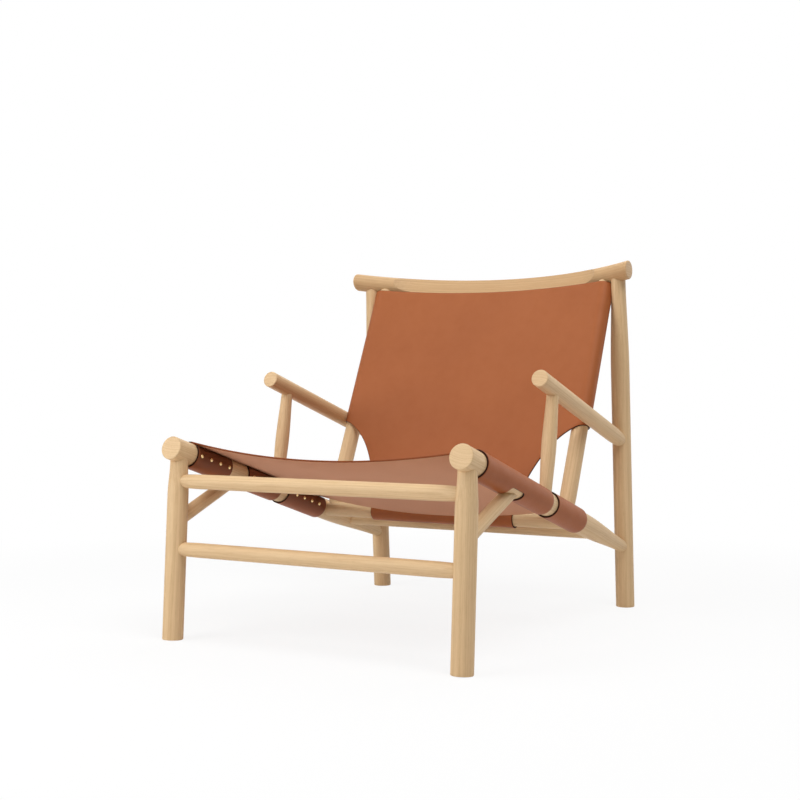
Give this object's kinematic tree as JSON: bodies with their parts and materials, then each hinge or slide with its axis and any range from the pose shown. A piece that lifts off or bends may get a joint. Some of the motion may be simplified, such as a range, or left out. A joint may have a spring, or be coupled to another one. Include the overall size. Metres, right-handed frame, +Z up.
{
  "type": "leather sling lounge chair",
  "caption": "Low lounge chair: a round-section oak frame with open arms and a bowed crest rail, and saddle-leather sheets slung as its seat and back.",
  "frame": {"origin": "on the floor, under the middle of the overall width and depth", "axes": "+Z up, +Y to the back of the chair, +X to the right as seen from the front"},
  "size_m": [0.707, 0.8798, 0.7801],
  "materials": {
    "oak": "pale natural oak, finely sanded, matt oil",
    "leather": "cognac saddle leather, smooth grain side, satin",
    "brass": "polished brass"
  },
  "bodies": {
    "root": {"front_leg_left": "oak", "front_leg_right": "oak", "rear_leg_left": "oak", "rear_leg_right": "oak", "side_rail_left": "oak", "side_rail_right": "oak", "arm_left": "oak", "arm_right": "oak", "arm_post_left": "oak", "arm_post_right": "oak", "front_brace_left": "oak", "front_brace_right": "oak", "back_upright_left": "oak", "back_upright_right": "oak", "crest_rail": "oak", "front_stretcher_upper": "oak", "front_stretcher_lower": "oak", "back_cross_rail": "oak", "rear_cross_rail": "oak", "seat_sling": "leather", "back_sling": "leather", "seat_stud_left_1_1": "brass", "seat_stud_left_1_2": "brass", "seat_stud_left_1_3": "brass", "seat_stud_left_1_4": "brass", "seat_stud_left_2_1": "brass", "seat_stud_left_2_2": "brass", "seat_stud_left_2_3": "brass", "seat_stud_left_2_4": "brass", "seat_stud_left_3_1": "brass", "seat_stud_left_3_2": "brass", "seat_stud_left_3_3": "brass", "seat_stud_left_3_4": "brass", "seat_stud_right_1_1": "brass", "seat_stud_right_1_2": "brass", "seat_stud_right_1_3": "brass", "seat_stud_right_1_4": "brass", "seat_stud_right_2_1": "brass", "seat_stud_right_2_2": "brass", "seat_stud_right_2_3": "brass", "seat_stud_right_2_4": "brass", "seat_stud_right_3_1": "brass", "seat_stud_right_3_2": "brass", "seat_stud_right_3_3": "brass", "seat_stud_right_3_4": "brass", "back_stud_left_1": "brass", "back_stud_left_2": "brass", "back_stud_left_3": "brass", "back_stud_left_4": "brass", "back_stud_right_1": "brass", "back_stud_right_2": "brass", "back_stud_right_3": "brass", "back_stud_right_4": "brass", "hem_stud_1": "brass", "hem_stud_2": "brass", "hem_stud_3": "brass", "hem_stud_4": "brass"}
  },
  "joints": []
}
